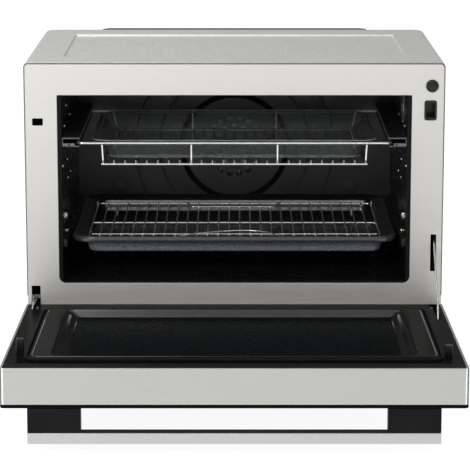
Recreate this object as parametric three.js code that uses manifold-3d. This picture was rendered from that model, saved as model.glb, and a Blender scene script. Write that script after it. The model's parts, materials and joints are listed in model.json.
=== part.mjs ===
// Countertop combi steam oven with its drop-down door open.
// Millimetres, +Z up, +Y towards the back. The part's origin is the middle of its base.
import * as THREE from 'three';
import { mergeVertices } from 'three/addons/utils/BufferGeometryUtils.js';
import Module from 'manifold-3d';

const wasm = await Module();
wasm.setup();

// ---------- driving dimensions ----------
const gap = 0.3; // between pieces that touch
const bodyWidth = 500;
const bodyDepth = 340;
const footHeight = 12;
const footRadius = 16;
const footSide = 42; // foot centre from the body's side
const footEnd = 40; // and from its front and back
const sillHeight = 92; // inner face of the open door above the floor
const topHeight = 290; // casing top above the sill
const frameDrop = 3; // the front frame ends this far below the sill
const frameThick = 3;
const topEdgeRadius = 6;
const rearCornerRadius = 18;
const sheet = 2;

const sideBorder = 39.5; // front frame beside, over and under the cavity opening
const topBorder = 38.6;
const bottomBorder = 23.4;
const openingCornerRadius = 8;
const linerStep = 4.5; // the cavity liner stands this far inside the opening
const rearSpace = 34; // cavity back wall to the outer rear face
const bayHeight = 31; // tank and drip tray bay above the base

const recessSide = 44; // stamped recess in the top
const recessFront = 62;
const recessRear = 54;
const recessDepth = 2.5;

const doorTilt = 1.5; // degrees short of level at rest
const hingeSetback = 27.6; // hinge axis in front of the front plane
const hingeDrop = 22.3; // hinge axis below the door's inner face
const doorStart = 3; // door's hinge end in front of the front plane
const doorThick = 40; // steel edge frame
const outerGlass = 3.4;
const doorWall = 3;
const doorCornerRadius = 5;
const hingeChamfer = 5;
const doorSeal = 4.5; // raised inner panel and gasket above the border plate
const gasketWidth = 3;
const gasketTall = 3.6; // lower than the raised panel, clear of the latch socket
const panelThick = 3;
const panelSide = 26; // raised part of the inner panel, from each door edge
const panelNear = 34;
const panelHinge = 50; // from the front plane
const windowSide = 31; // band of the raised part around the window
const windowEnd = 9;
const windowHinge = 14;
const pinRadius = 3;
const pinPlay = 0.35;
const pocketWidth = 10.5; // slot in the door's hinge corners
const pocketLength = 38;
const pocketInset = 6; // door side to pocket

const handleLength = 442;
const handleTall = 16.5;
const handleThick = 12.3;
const standoffWidth = 57;
const standoffHeight = 26.5;
const standoffDeep = 15;

const latchSide = 17.4; // body side to the latch, and the casing top to it
const latchDown = 56.6;
const latchWidth = 14.8;
const latchTall = 24;
const hookWidth = 7.6;
const hookTall = 10;
const hookReach = 13;
const switchSide = 16.3;
const switchDown = 70.6;
const switchWidth = 12.4;
const switchTall = 8.4;
const postReach = 17;
const postWidth = 8.4;
const postDeep = 5.4;
const plungerSide = 15.7;
const plungerDown = 27.6;
const plungerRadius = 7;

const linkSide = 10.5;
const linkThick = 2;
const linkHalf = 3; // half its width
const linkPivotOut = 70; // pivot in front of the front plane, door open
const linkPivotDown = 7; // and below the sill
const linkFoot = 30; // steep stretch by the door
const linkFootAngle = 65;
const linkArm = 114;
const linkArmAngle = 40;
const linkHoleFar = 38; // hole in the door that it comes through, from the front plane
const linkHoleNear = 95;
const linkHoleWidth = 6;
const linkSlotWidth = 6.6;
const linkSlotLow = 38;
const linkSlotHigh = 83;

const railWidth = 21;
const railTall = 11.5;
const railSheet = 1.2;
const railZ = 188; // lower flange of the upper rails above the sill
const railFront = 8;
const railRear = 16; // rail end to the cavity back wall
const basketWire = 4;
const basketDrop = 25.5;
const basketInset = 28.7; // basket's lower part inside its frame
const basketFront = 15;
const basketRear = 34; // clear space behind the shelves
const basketBars = 24; // spaces between the bars
const barThick = 3;
const glassFlange = 15.5; // basket side wire to the glass tray's rim
const glassDeep = 25;
const glassEnds = 22;
const glassWall = 3;
const glassTaper = 19;
const glassCorner = 22;

const trayZ = 79; // enamel tray rim above the sill
const trayDeep = 23;
const trayFront = 8;
const trayRear = 20;
const traySide = 9.7; // tray rim to the cavity wall
const trayRim = 9;
const trayCorner = 12;
const trayRimCorner = 24;
const trayTaper = 7;
const trayWall = 2;
const ledgeWidth = 17;
const ledgeTall = 10;
const gridInset = 4.5; // wire grid inside the tray
const gridBars = 27;
const gridWire = 2.4;
const gridHeight = 13; // grid above the tray's bottom

const lampIn = 62; // lamp behind the cavity's front edge and below its ceiling
const lampDown = 24;
const lampRadius = 15;
const fanRise = 1.4; // fan centre above the middle of the cavity
const fanRadius = 60;
const fanBlades = 9;
const fanDeep = 11;
const fanCoverRadius = 72;
const fanHole = 4; // radius of the holes in its cover
const motorRadius = 28;
const rearCoverDeep = 18;
const rearCoverHalf = 175;
const rearCoverLow = 40; // its lower edge above the sill
const rearCoverBevel = 8;
const rearSlots = 9; // in each of its two rows
const rearSlotPitch = 24;
const rearSlotTall = 6;
const ventRows = 6;
const ventPitch = 12;
const ventTall = 5;
const ventLong = 36;
const ventInset = 10; // from the rear panel's side
const ventLow = 60;
const inletRadius = 8;
const inletSide = 28;
const inletUp = 40;

const grillHalf = 150; // heater mat over the ceiling
const boilerFront = 120; // steam boiler behind the cavity's front edge, beside its left wall
const boilerLong = 90;
const boilerLow = 110; // above the sill
const pipeRadius = 4;
const pumpFront = 200;
const pumpLong = 50;
const pumpLow = 20;
const pumpTall = 40;
const boardFront = 130; // control board beside the right wall
const boardLow = 60;
const boardTall = 140;

const tankWidth = 150;
const tankDeep = 230;
const trayBayDeep = 150;
const bayGap = 3; // clear space around what slides in the bay

// ---------- derived places ----------
const half = bodyWidth / 2;
const sill = sillHeight;
const top = sill + topHeight;
const frameLow = sill - frameDrop;
const caseFront = frameThick + gap;
const baseLow = footHeight + gap;
const baseTop = baseLow + sheet;
const openHalf = half - sideBorder;
const openLow = sill + bottomBorder;
const openHigh = top - topBorder;
const cavityHalf = openHalf - linerStep;
const cavityLow = openLow + 1;
const cavityHigh = openHigh - 1;
const cavityFront = frameThick + 3 * gap + sheet;
const cavityBack = bodyDepth - rearSpace;
const shelfLow = baseTop + bayHeight;
const latchX = half - latchSide;
const latchZ = topHeight - latchDown; // these heights are above the sill
const switchX = -half + switchSide;
const switchZ = topHeight - switchDown;
const plungerX = half - plungerSide;
const plungerZ = topHeight - plungerDown;
const linkX = half - linkSide;
const hinge = new THREE.Vector3(0, -hingeSetback, sill - hingeDrop);
const doorLength = topHeight + hingeSetback + hingeDrop; // closed, it ends level with the top
const lampY = cavityFront + lampIn;
const lampZ = cavityHigh - lampDown;
const fanZ = (cavityLow + cavityHigh) / 2 + fanRise;

// ---------- materials ----------
const finish = (color, roughness, metalness, opacity = 1) =>
  new THREE.MeshStandardMaterial({ color, roughness, metalness, opacity, transparent: opacity < 1 });
const steel = finish(0xcfcdc8, 0.32, 0.9);
const casingSteel = finish(0xc6c5c1, 0.38, 0.7);
const enamel = finish(0x15161a, 0.22, 0.1);
const blackPlastic = finish(0x1b1b1d, 0.5, 0);
const blackGlass = finish(0x0b0c0e, 0.06, 0);
const clearGlass = finish(0xb9cfc8, 0.05, 0, 0.35);
const rubber = finish(0x222222, 0.8, 0);
const wireSteel = finish(0xd9d9d6, 0.2, 1);
const zinc = finish(0x9a9c9d, 0.45, 0.9);
const boardGreen = finish(0x1f5a35, 0.6, 0);
const clearPlastic = finish(0x9fb4c0, 0.15, 0);
const brass = finish(0xb08a4a, 0.35, 0.9);

// ---------- solids ----------
function solid(geometry) {
  const bare = geometry.index ? geometry.toNonIndexed() : geometry.clone();
  bare.deleteAttribute('normal');
  bare.deleteAttribute('uv');
  const merged = mergeVertices(bare, 1e-4);
  return new wasm.Manifold(new wasm.Mesh({
    numProp: 3,
    vertProperties: merged.attributes.position.array,
    triVerts: new Uint32Array(merged.index.array),
  }));
}

function geometryOf(body) {
  const mesh = body.getMesh();
  const geometry = new THREE.BufferGeometry();
  geometry.setAttribute('position', new THREE.BufferAttribute(new Float32Array(mesh.vertProperties), 3));
  geometry.setIndex(new THREE.BufferAttribute(new Uint32Array(mesh.triVerts), 1));
  return geometry;
}

function block(x0, x1, y0, y1, z0, z1) {
  const box = new THREE.BoxGeometry(x1 - x0, y1 - y0, z1 - z0);
  return solid(box.translate((x0 + x1) / 2, (y0 + y1) / 2, (z0 + z1) / 2));
}

const joined = (...bodies) => bodies.reduce((all, body) => all.add(body));
const cut = (body, ...tools) => tools.reduce((left, tool) => left.subtract(tool), body);

// A rectangle with one radius for each corner: low left, low right, high right, high left.
function roundedRectangle(x0, x1, y0, y1, radii) {
  const [a, b, c, d] = typeof radii === 'number' ? [radii, radii, radii, radii] : radii;
  const shape = new THREE.Shape();
  shape.moveTo(x0 + a, y0);
  shape.lineTo(x1 - b, y0);
  if (b) shape.absarc(x1 - b, y0 + b, b, -Math.PI / 2, 0);
  shape.lineTo(x1, y1 - c);
  if (c) shape.absarc(x1 - c, y1 - c, c, 0, Math.PI / 2);
  shape.lineTo(x0 + d, y1);
  if (d) shape.absarc(x0 + d, y1 - d, d, Math.PI / 2, Math.PI);
  shape.lineTo(x0, y0 + a);
  if (a) shape.absarc(x0 + a, y0 + a, a, Math.PI, Math.PI * 1.5);
  return shape;
}

const extruded = (shape, depth, curveSegments) =>
  new THREE.ExtrudeGeometry(shape, { depth, bevelEnabled: false, curveSegments });

// Extrusions along each axis: the shape's x and y become the other two, in X, Y, Z order.
const alongZ = (shape, z0, z1, arc = 4) => solid(extruded(shape, z1 - z0, arc).translate(0, 0, z0));
const alongY = (shape, y0, y1, arc = 4) =>
  solid(extruded(shape, y1 - y0, arc).rotateX(Math.PI / 2).translate(0, y1, 0));
function alongX(shape, x0, x1, arc = 4) {
  const turn = new THREE.Matrix4().makeBasis(
    new THREE.Vector3(0, 1, 0),
    new THREE.Vector3(0, 0, 1),
    new THREE.Vector3(1, 0, 0),
  );
  return solid(extruded(shape, x1 - x0, arc).applyMatrix4(turn).translate(x0, 0, 0));
}

function rod(axis, radius, from, to, a, b, sides = 20) {
  const cylinder = new THREE.CylinderGeometry(radius, radius, to - from, sides);
  const middle = (from + to) / 2;
  if (axis === 'x') cylinder.rotateZ(-Math.PI / 2).translate(middle, a, b);
  if (axis === 'y') cylinder.translate(a, middle, b);
  if (axis === 'z') cylinder.rotateX(Math.PI / 2).translate(a, b, middle);
  return solid(cylinder);
}

// A slab whose sides lean inwards towards its low face.
function leaning(x0, x1, y0, y1, z0, z1, radius, lean) {
  const geometry = extruded(roundedRectangle(x0, x1, y0, y1, radius), z1 - z0, 4);
  const place = geometry.attributes.position;
  const [cx, cy] = [(x0 + x1) / 2, (y0 + y1) / 2];
  const [kx, ky] = [1 - (2 * lean) / (x1 - x0), 1 - (2 * lean) / (y1 - y0)];
  for (let i = 0; i < place.count; i += 1) {
    if (place.getZ(i) > (z1 - z0) / 2) continue;
    place.setX(i, cx + (place.getX(i) - cx) * kx);
    place.setY(i, cy + (place.getY(i) - cy) * ky);
  }
  return solid(geometry.translate(0, 0, z0));
}

// ---------- assembly ----------
const assembly = new THREE.Group();
const door = new THREE.Group();
door.position.copy(hinge);
door.rotation.x = -THREE.MathUtils.degToRad(doorTilt);
assembly.add(door);

function piece(name, body, material, parent = assembly) {
  const mesh = new THREE.Mesh(geometryOf(body), material);
  mesh.name = name;
  parent.add(mesh);
}

const sides = [['left', -1], ['right', 1]];
// x range of something that spans near..far from the middle, on one side
const span = (side, near, far) => (side > 0 ? [near, far] : [-far, -near]);

// ---------- casing ----------
function casingWrap() {
  const low = baseTop + gap;
  const topArcs = [0, 0, topEdgeRadius, topEdgeRadius];
  const rearArcs = [0, 0, rearCornerRadius, rearCornerRadius];
  const profile = (inset) => alongY(
    roundedRectangle(-half + inset, half - inset, low - inset, top - inset, topArcs),
    caseFront - inset, bodyDepth,
  );
  const plan = (inset, rear) => alongZ(
    roundedRectangle(-half + inset, half - inset, caseFront - inset, rear, rearArcs),
    low - inset, top,
  );
  const outer = profile(0).intersect(plan(0, bodyDepth));
  const inner = profile(sheet).intersect(plan(sheet, bodyDepth - sheet));
  const back = half - rearCornerRadius;
  const behind = block(-back, back, bodyDepth - 2 * sheet, bodyDepth + 1, low - 1, top - sheet);
  const recess = (grow, z0, z1) => block(
    -half + recessSide - grow, half - recessSide + grow,
    recessFront - grow, bodyDepth - recessRear + grow, z0, z1,
  );
  const shell = cut(outer, inner, behind);
  const pan = recess(sheet, top - recessDepth - sheet, top - sheet / 2);
  return cut(joined(shell, pan), recess(0, top - recessDepth, top + 1));
}
piece('casing_wrap', casingWrap(), casingSteel);

function frontFrame() {
  const face = alongY(
    roundedRectangle(-half, half, frameLow, top, [0, 0, topEdgeRadius, topEdgeRadius]), 0, frameThick,
  );
  const through = (shape) => alongY(shape, -1, frameThick + 1);
  const corner = openingCornerRadius;
  const opening = through(roundedRectangle(-openHalf, openHalf, openLow, openHigh, [corner, corner, 1, 1]));
  const slot = (x, z, w, h, r) => through(
    roundedRectangle(x - w / 2, x + w / 2, sill + z - h / 2, sill + z + h / 2, r),
  );
  const linkZ = (linkSlotLow + linkSlotHigh) / 2;
  const [x0, x1] = span(-1, half - pocketInset - pocketWidth, half - pocketInset);
  return cut(
    face,
    opening,
    slot(latchX, latchZ, latchWidth - 2, latchTall - 2, 2),
    slot(switchX, switchZ, switchWidth, switchTall, 1),
    slot(linkX - 1, linkZ, linkSlotWidth, linkSlotHigh - linkSlotLow, 1),
    rod('y', plungerRadius + gap, -1, frameThick + 1, plungerX, sill + plungerZ),
    block(x0, x1, -1, frameThick + 1, frameLow - 1, sill + 20),
  );
}
piece('front_frame', frontFrame(), steel);

const rearHalf = half - rearCornerRadius - gap;
const inletX = rearHalf - inletSide;
const inletZ = baseTop + inletUp;
function rearPanel() {
  const plate = block(-rearHalf, rearHalf, bodyDepth - sheet, bodyDepth, baseTop + gap, top - sheet - gap);
  const vents = [];
  for (let row = 0; row < ventRows; row += 1) {
    for (const [, side] of sides) {
      const [x0, x1] = span(side, rearHalf - ventInset - ventLong, rearHalf - ventInset);
      const z = sill + ventLow + row * ventPitch;
      vents.push(block(x0, x1, bodyDepth - 5, bodyDepth + 5, z, z + ventTall));
    }
  }
  const motorHole = rod('y', motorRadius + 6, bodyDepth - 5, bodyDepth + 5, 0, fanZ);
  const inletHole = rod('y', inletRadius + gap, bodyDepth - 5, bodyDepth + 5, inletX, inletZ, 16);
  return cut(plate, motorHole, inletHole, ...vents);
}
piece('rear_panel', rearPanel(), zinc);

function cordInlet() {
  const flange = rod('y', inletRadius + 4, bodyDepth + gap, bodyDepth + 5, inletX, inletZ, 16);
  const neck = rod('y', inletRadius, bodyDepth - 8, bodyDepth + 3, inletX, inletZ, 16);
  return cut(joined(flange, neck), rod('y', 3.5, bodyDepth - 12, bodyDepth + 10, inletX, inletZ, 12));
}
piece('cord_inlet', cordInlet(), blackPlastic);

function rearCover() {
  const [low, high] = [sill + rearCoverLow, top - 1.5];
  const y0 = bodyDepth + gap;
  const y1 = bodyDepth + rearCoverDeep;
  const outline = (inset, deep) => {
    const shape = new THREE.Shape();
    shape.moveTo(-rearCoverHalf + inset, y0 - 1);
    shape.lineTo(rearCoverHalf - inset, y0 - 1);
    shape.lineTo(rearCoverHalf - inset, y1 - rearCoverBevel - deep);
    shape.lineTo(rearCoverHalf - rearCoverBevel - inset, y1 - deep);
    shape.lineTo(-rearCoverHalf + rearCoverBevel + inset, y1 - deep);
    shape.lineTo(-rearCoverHalf + inset, y1 - rearCoverBevel - deep);
    return shape;
  };
  const shell = cut(alongZ(outline(0, 0), low, high), alongZ(outline(sheet, sheet), low + sheet, high - sheet));
  const slots = [];
  for (let i = 0; i < rearSlots; i += 1) {
    const x = (i - (rearSlots - 1) / 2) * rearSlotPitch;
    for (const z of [low + 20, low + 34]) {
      slots.push(block(x - 8, x + 8, y1 - 5, y1 + 5, z, z + rearSlotTall));
    }
  }
  return cut(shell, block(-half, half, y0 - 5, y0, low - 5, high + 5), ...slots);
}
piece('rear_duct_cover', rearCover(), blackPlastic);

const baseCorner = rearCornerRadius - sheet;
piece('base_pan', alongZ(
  roundedRectangle(-half + sheet, half - sheet, caseFront, bodyDepth - sheet, [0, 0, baseCorner, baseCorner]),
  baseLow, baseTop,
), zinc);
for (const [name, side] of sides) {
  const x = side * (half - footSide);
  piece('foot_front_' + name, rod('z', footRadius, 0, footHeight, x, footEnd), rubber);
  piece('foot_rear_' + name, rod('z', footRadius, 0, footHeight, x, bodyDepth - footEnd), rubber);
}

const fasciaY = 20;
const bayHalf = half - sheet - gap;
piece('bay_shelf', joined(
  block(-bayHalf, bayHalf, fasciaY, bodyDepth - 60, shelfLow, shelfLow + sheet),
  block(-bayHalf, bayHalf, fasciaY, fasciaY + sheet, shelfLow, frameLow - gap),
), blackPlastic);

// ---------- cavity ----------
const rimInner = cavityHalf + gap;
piece('cavity_rim', cut(
  block(-openHalf - 5, openHalf + 5, frameThick + gap, frameThick + gap + sheet, openLow - 5, openHigh + 5),
  block(-rimInner, rimInner, 0, 10, cavityLow, cavityHigh),
), enamel);

for (const [name, side] of sides) {
  const [x0, x1] = span(side, cavityHalf, cavityHalf + sheet);
  const [l0, l1] = span(side, cavityHalf - ledgeWidth, cavityHalf + 0.5);
  const ledgeTop = sill + trayZ - trayWall - gap;
  const wall = joined(
    block(x0, x1, cavityFront, cavityBack - gap, cavityLow, cavityHigh),
    block(l0, l1, cavityFront + 2, cavityBack - railRear, ledgeTop - ledgeTall, ledgeTop),
  );
  const lampHole = rod('x', lampRadius + gap, cavityHalf - 1, cavityHalf + 9, lampY, lampZ);
  piece('cavity_wall_' + name, side > 0 ? cut(wall, lampHole) : wall, enamel);
}
const shellHalf = cavityHalf + sheet;
piece('cavity_floor',
  block(
    -shellHalf, shellHalf, cavityFront, cavityBack + sheet, cavityLow - sheet - gap, cavityLow - gap,
  ), enamel);
piece('cavity_ceiling',
  block(
    -shellHalf, shellHalf, cavityFront, cavityBack + sheet, cavityHigh + gap, cavityHigh + sheet + gap,
  ), enamel);
piece('cavity_back', cut(
  block(-shellHalf, shellHalf, cavityBack, cavityBack + sheet, cavityLow, cavityHigh),
  rod('y', fanCoverRadius - 16, cavityBack - 5, cavityBack + 5, 0, fanZ, 32),
), enamel);

function fanCover() {
  const face = cavityBack - gap;
  const disc = rod('y', fanCoverRadius, face - 1.5, face, 0, fanZ, 36);
  const pitch = 3 * fanHole;
  const holes = [rod('y', fanHole, face - 5, face + 5, 0, fanZ, 8)];
  for (let ring = 1; ring <= 3; ring += 1) {
    for (let i = 0; i < 6 * ring; i += 1) {
      const a = (Math.PI * i) / (3 * ring);
      const [x, z] = [ring * pitch * Math.cos(a), fanZ + ring * pitch * Math.sin(a)];
      holes.push(rod('y', fanHole, face - 5, face + 5, x, z, 8));
    }
  }
  return cut(disc, ...holes);
}
piece('fan_cover', fanCover(), enamel);

for (const [name, side] of sides) {
  const [x0, x1] = span(side, cavityHalf - gap - railWidth, cavityHalf - gap);
  const [h0, h1] = side > 0 ? [x0 - 1, x1 - railSheet] : [x0 + railSheet, x1 + 1];
  const low = sill + railZ;
  const y1 = cavityBack - railRear;
  piece('upper_rail_' + name, cut(
    block(x0, x1, railFront, y1, low, low + railTall),
    block(h0, h1, railFront - 1, y1 + 1, low + railSheet, low + railTall - railSheet),
  ), zinc);
}

piece('lamp_lens',
  joined(
    rod('x', lampRadius + 3, cavityHalf - 3, cavityHalf - gap, lampY, lampZ, 24),
    rod('x', lampRadius, cavityHalf - 2, cavityHalf + 6, lampY, lampZ, 24),
  ), clearGlass);

// ---------- fan, heaters and steam ----------
function convectionFan() {
  const y0 = cavityBack + sheet + 2;
  const plate = rod('y', fanRadius * 0.62, y0 + fanDeep - 1.5, y0 + fanDeep, 0, fanZ, 24);
  const hub = rod('y', 10, y0 + 2, y0 + fanDeep, 0, fanZ, 16);
  const parts = [plate, hub];
  for (let i = 0; i < fanBlades; i += 1) {
    const blade = new THREE.BoxGeometry(fanRadius - 14, fanDeep - 2, 1.5);
    blade.translate((fanRadius + 14) / 2 - 3, 0, 0);
    blade.rotateY((2 * Math.PI * i) / fanBlades);
    parts.push(solid(blade.translate(0, y0 + fanDeep / 2 + 0.5, fanZ)));
  }
  return joined(...parts);
}
piece('convection_fan', convectionFan(), zinc);

const motorFront = cavityBack + sheet + fanDeep + 3;
piece('fan_motor', joined(
  rod('y', motorRadius, motorFront, bodyDepth + rearCoverDeep - 3, 0, fanZ, 24),
  rod('y', motorRadius - 12, motorFront - 0.5, motorFront + 2, 0, fanZ, 16),
), zinc);

function ringHeater() {
  const section = [];
  for (let i = 0; i <= 6; i += 1) {
    const a = (2 * Math.PI * i) / 6;
    section.push(new THREE.Vector2(fanRadius + 12 + 3.2 * Math.cos(a), 3.2 * Math.sin(a)));
  }
  section[6].copy(section[0]);
  const y = cavityBack + sheet + 8;
  const ring = solid(new THREE.LatheGeometry(section, 30).translate(0, y, fanZ));
  const legs = [-8, 8].map((x) => rod('y', 3, y, bodyDepth - sheet - gap, x, fanZ + fanRadius + 12, 8));
  return joined(ring, ...legs);
}
piece('ring_heater', ringHeater(), zinc);

const grillZ = cavityHigh + sheet + 2 * gap;
piece('grill_heater',
  block(-grillHalf, grillHalf, cavityFront + 40, cavityBack - 50, grillZ, grillZ + 6), zinc);

const sideLow = shellHalf + 4;
const sideHigh = half - sheet - 3;
const boilerY = cavityFront + boilerFront;
const boilerRear = boilerY + boilerLong;
const boilerZ = sill + boilerLow;
piece('steam_boiler', block(
  -sideHigh, -sideLow, boilerY, boilerRear, boilerZ, boilerZ + boilerLong,
), zinc);

const pipeX = -sideLow - 2 * pipeRadius;
const pipeY = cavityBack + 4 * pipeRadius;
const pipeZ = boilerZ + boilerLong - 20;
piece('steam_pipe', joined(
  rod('y', pipeRadius, boilerRear + gap, pipeY, pipeX, pipeZ, 10),
  rod('x', pipeRadius, pipeX, -fanRadius - 30, pipeY, pipeZ, 10),
), brass);

const pumpY = cavityFront + pumpFront;
const pumpZ = sill + pumpLow;
piece('water_pump', joined(
  block(-sideHigh, -sideLow, pumpY, pumpY + pumpLong, pumpZ, pumpZ + pumpTall),
  rod('y', 10, pumpY - 20, pumpY + 20, -(sideLow + sideHigh) / 2, pumpZ + pumpTall / 2, 16),
), blackPlastic);

const boardZ = sill + boardLow;
piece('control_board', block(
  sideLow + 4, sideLow + 6, cavityFront + boardFront, cavityBack - 20, boardZ, boardZ + boardTall,
), boardGreen);

// ---------- fittings on the front frame ----------
function latchBezel() {
  const ring = (w, h, r) => roundedRectangle(
    latchX - w / 2, latchX + w / 2, sill + latchZ - h / 2, sill + latchZ + h / 2, r,
  );
  const body = joined(
    alongY(ring(latchWidth, latchTall, 3), -1, -gap),
    alongY(ring(latchWidth - 2.6, latchTall - 2.6, 1.7), -0.5, 24),
  );
  return cut(body, alongY(ring(hookWidth + 2.4, latchTall - 7, 1), -2, 22));
}
piece('latch_socket', latchBezel(), blackPlastic);

const switchBack = 28;
piece('door_switch', cut(
  block(switchX - 9, switchX + 9, frameThick + gap, switchBack, sill + switchZ - 8, sill + switchZ + 8),
  block(switchX - 6, switchX + 6, 0, switchBack - 4, sill + switchZ - 4.4, sill + switchZ + 4.4),
), blackPlastic);

const plungerOut = 3.4;
piece('door_plunger', joined(
  rod('y', plungerRadius, -plungerOut, frameThick + 4, plungerX, sill + plungerZ, 24),
  rod('y', 2.5, frameThick, frameThick + 16, plungerX, sill + plungerZ, 12),
), blackPlastic);

// ---------- hinges ----------
const pocketNear = half - pocketInset - pocketWidth;
const pocketFar = half - pocketInset;
const bracketThick = 3.2;
for (const [name, side] of sides) {
  const [x0, x1] = span(side, pocketNear + 1, pocketNear + 1 + bracketThick);
  const [y, z] = [hinge.y, hinge.z];
  const arm = joined(
    rod('x', 7, x0, x1, y, z, 20),
    block(x0, x1, y, fasciaY - gap, z - 6, z + 6),
    block(x0 - 3, x1 + 3, fasciaY - 2, fasciaY - gap, z - 12, z + 12),
  );
  piece('hinge_bracket_' + name, cut(arm, rod('x', pinRadius + pinPlay, x0 - 1, x1 + 1, y, z, 20)), zinc);
  const [p0, p1] = span(side, pocketNear - 6, half - doorWall - gap);
  piece('hinge_pin_' + name, rod('x', pinRadius, p0, p1, 0, 0, 20), zinc, door);
}

// ---------- door, in its own frame: hinge axis at the origin, inner face at +hingeDrop ----------
const out = (distance) => hingeSetback - distance; // y of a place this far in front of the front plane
const face = hingeDrop;
const under = face - doorThick;
const nearY = out(doorLength);
const farY = out(doorStart);

function hingeEdge(z, up) {
  // wedge that bevels the door's hinge end at height z
  const shape = new THREE.Shape();
  shape.moveTo(farY + 1, z + up);
  shape.lineTo(farY - hingeChamfer - 1, z + up);
  shape.lineTo(farY + 1, z - up * (hingeChamfer + 1));
  shape.closePath();
  return alongX(shape, -half - 1, half + 1);
}

function pocket(side) {
  const [x0, x1] = span(side, pocketNear, pocketFar);
  return block(x0, x1, out(pocketLength), farY + 2, face - 36, face + 10);
}

function doorFrame() {
  const r = doorCornerRadius;
  const outline = (inset, radius) => roundedRectangle(
    -half + inset, half - inset, nearY + inset, farY - inset, [radius, radius, 0, 0],
  );
  const ring = cut(
    alongZ(outline(0, r), under, face),
    alongZ(outline(doorWall, r - 2), under - 1, face + 1),
  );
  const blocks = sides.map(([, side]) => {
    const [x0, x1] = span(side, pocketNear - 8, half - 1);
    return block(x0, x1, out(pocketLength + 6), farY - 1, under, face - panelThick - gap);
  });
  const pinHoles = sides.map(([, side]) => {
    const [x0, x1] = span(side, pocketNear - 6.5, half - doorWall);
    return rod('x', pinRadius + pinPlay, x0, x1, 0, 0, 20);
  });
  const play = linkHoleWidth / 2 + 1;
  const linkPocket = block(
    linkX - play, linkX + play, out(linkHoleNear + 4), out(linkHoleFar - 2), face - 20, face + 1,
  );
  return cut(
    joined(ring, ...blocks),
    ...sides.map(([, side]) => pocket(side)),
    ...pinHoles,
    linkPocket,
    hingeEdge(face, 1),
    hingeEdge(under, -1),
  );
}
piece('door_frame', doorFrame(), steel, door);

const panelX = half - panelSide;
const panelY0 = out(doorLength - panelNear);
const panelY1 = out(panelHinge);
const windowX = panelX - windowSide;
const windowY0 = panelY0 + windowEnd;
const windowY1 = panelY1 - windowHinge;

function innerPanel() {
  const edge = doorWall + gap;
  const plate = alongZ(
    roundedRectangle(-half + edge, half - edge, nearY + edge, out(doorStart + hingeChamfer + 4), [3, 3, 0, 0]),
    face - panelThick, face,
  );
  const raised = alongZ(
    roundedRectangle(-panelX, panelX, panelY0, panelY1, 14), face - 1, face + doorSeal, 5,
  );
  const window = alongZ(roundedRectangle(-windowX, windowX, windowY0, windowY1, 10), face - 9, face + 9, 5);
  const linkHole = block(
    linkX - linkHoleWidth / 2, linkX + linkHoleWidth / 2, out(linkHoleNear), out(linkHoleFar),
    face - 10, face + 10,
  );
  return cut(joined(plate, raised), window, linkHole, ...sides.map(([, side]) => pocket(side)));
}
piece('door_inner_panel', innerPanel(), enamel, door);

function doorGasket() {
  const ring = (grow) => roundedRectangle(
    -panelX - grow, panelX + grow, panelY0 - grow, panelY1 + grow, 14 + grow,
  );
  return cut(
    alongZ(ring(gap + gasketWidth), face + gap, face + gasketTall, 5),
    alongZ(ring(gap), face - 1, face + doorSeal + 1, 5),
  );
}
piece('door_gasket', doorGasket(), rubber, door);

const glassGrow = 7;
piece('door_inner_glass', alongZ(
  roundedRectangle(-windowX - glassGrow, windowX + glassGrow, windowY0 - glassGrow, windowY1 + glassGrow, 6),
  face - panelThick - gap - 4, face - panelThick - gap,
), blackGlass, door);

// controls on the door's outer face, in a strip along its lower end when it is closed
const skinLow = under - gap - outerGlass;
const skinHigh = under - gap;
const stripY = out(64);
const [displayFrom, displayTo] = [-200, -75];
const dialX = 190;
const dialRadius = 17;
const dialTall = 5; // low enough for the tank to pass under it while the door is open
const keyPlaces = [['key_menu', -20], ['key_stop', 30], ['key_start', 80]];
const keyRadius = 8;

function outerPanel() {
  const plate = alongZ(
    roundedRectangle(-half, half, nearY, farY - hingeChamfer, [doorCornerRadius, doorCornerRadius, 0, 0]),
    skinLow, skinHigh,
  );
  return cut(
    plate,
    rod('z', 4 + gap, skinLow - 1, skinHigh + 1, dialX, stripY, 16),
    ...keyPlaces.map(([, x]) => rod('z', keyRadius + gap, skinLow - 1, skinHigh + 1, x, stripY, 20)),
  );
}
piece('door_outer_panel', outerPanel(), blackGlass, door);

piece('control_dial', joined(
  rod('z', dialRadius, skinLow - gap - dialTall, skinLow - gap, dialX, stripY, 28),
  rod('z', 4, skinLow - gap - 1, skinHigh + 6, dialX, stripY, 16),
), steel, door);
for (const [name, x] of keyPlaces) {
  piece(name, rod('z', keyRadius, skinLow - 1.8, skinHigh - 0.6, x, stripY, 20), blackPlastic, door);
}
piece('display_module',
  block(displayFrom, displayTo, stripY - 17, stripY + 17, skinHigh + gap, skinHigh + 8), blackPlastic, door);

const standoffLow = skinLow - gap - standoffHeight;
for (const [name, side] of sides) {
  const [x0, x1] = span(side, handleLength / 2 - standoffWidth, handleLength / 2);
  piece('handle_standoff_' + name,
    block(x0, x1, nearY + 0.8, nearY + 0.8 + standoffDeep, standoffLow, skinLow - gap), blackPlastic, door);
}
const barHigh = standoffLow - gap;
piece('handle_bar', alongX(
  roundedRectangle(nearY, nearY + handleTall, barHigh - handleThick, barHigh, 1.2),
  -handleLength / 2, handleLength / 2, 3,
), steel, door);

const closedOut = (z) => z + hingeSetback + hingeDrop; // where a height above the sill lies on the open door
function latchHook() {
  const y = out(closedOut(latchZ));
  const shape = new THREE.Shape();
  shape.moveTo(y - hookTall / 2, face + gap);
  shape.lineTo(y + hookTall / 2, face + gap);
  shape.lineTo(y + hookTall / 2, face + hookReach - 4);
  shape.lineTo(y + 1, face + hookReach);
  shape.lineTo(y - hookTall / 2, face + hookReach);
  return alongX(shape, latchX - hookWidth / 2, latchX + hookWidth / 2);
}
piece('latch_hook', latchHook(), blackPlastic, door);

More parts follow.
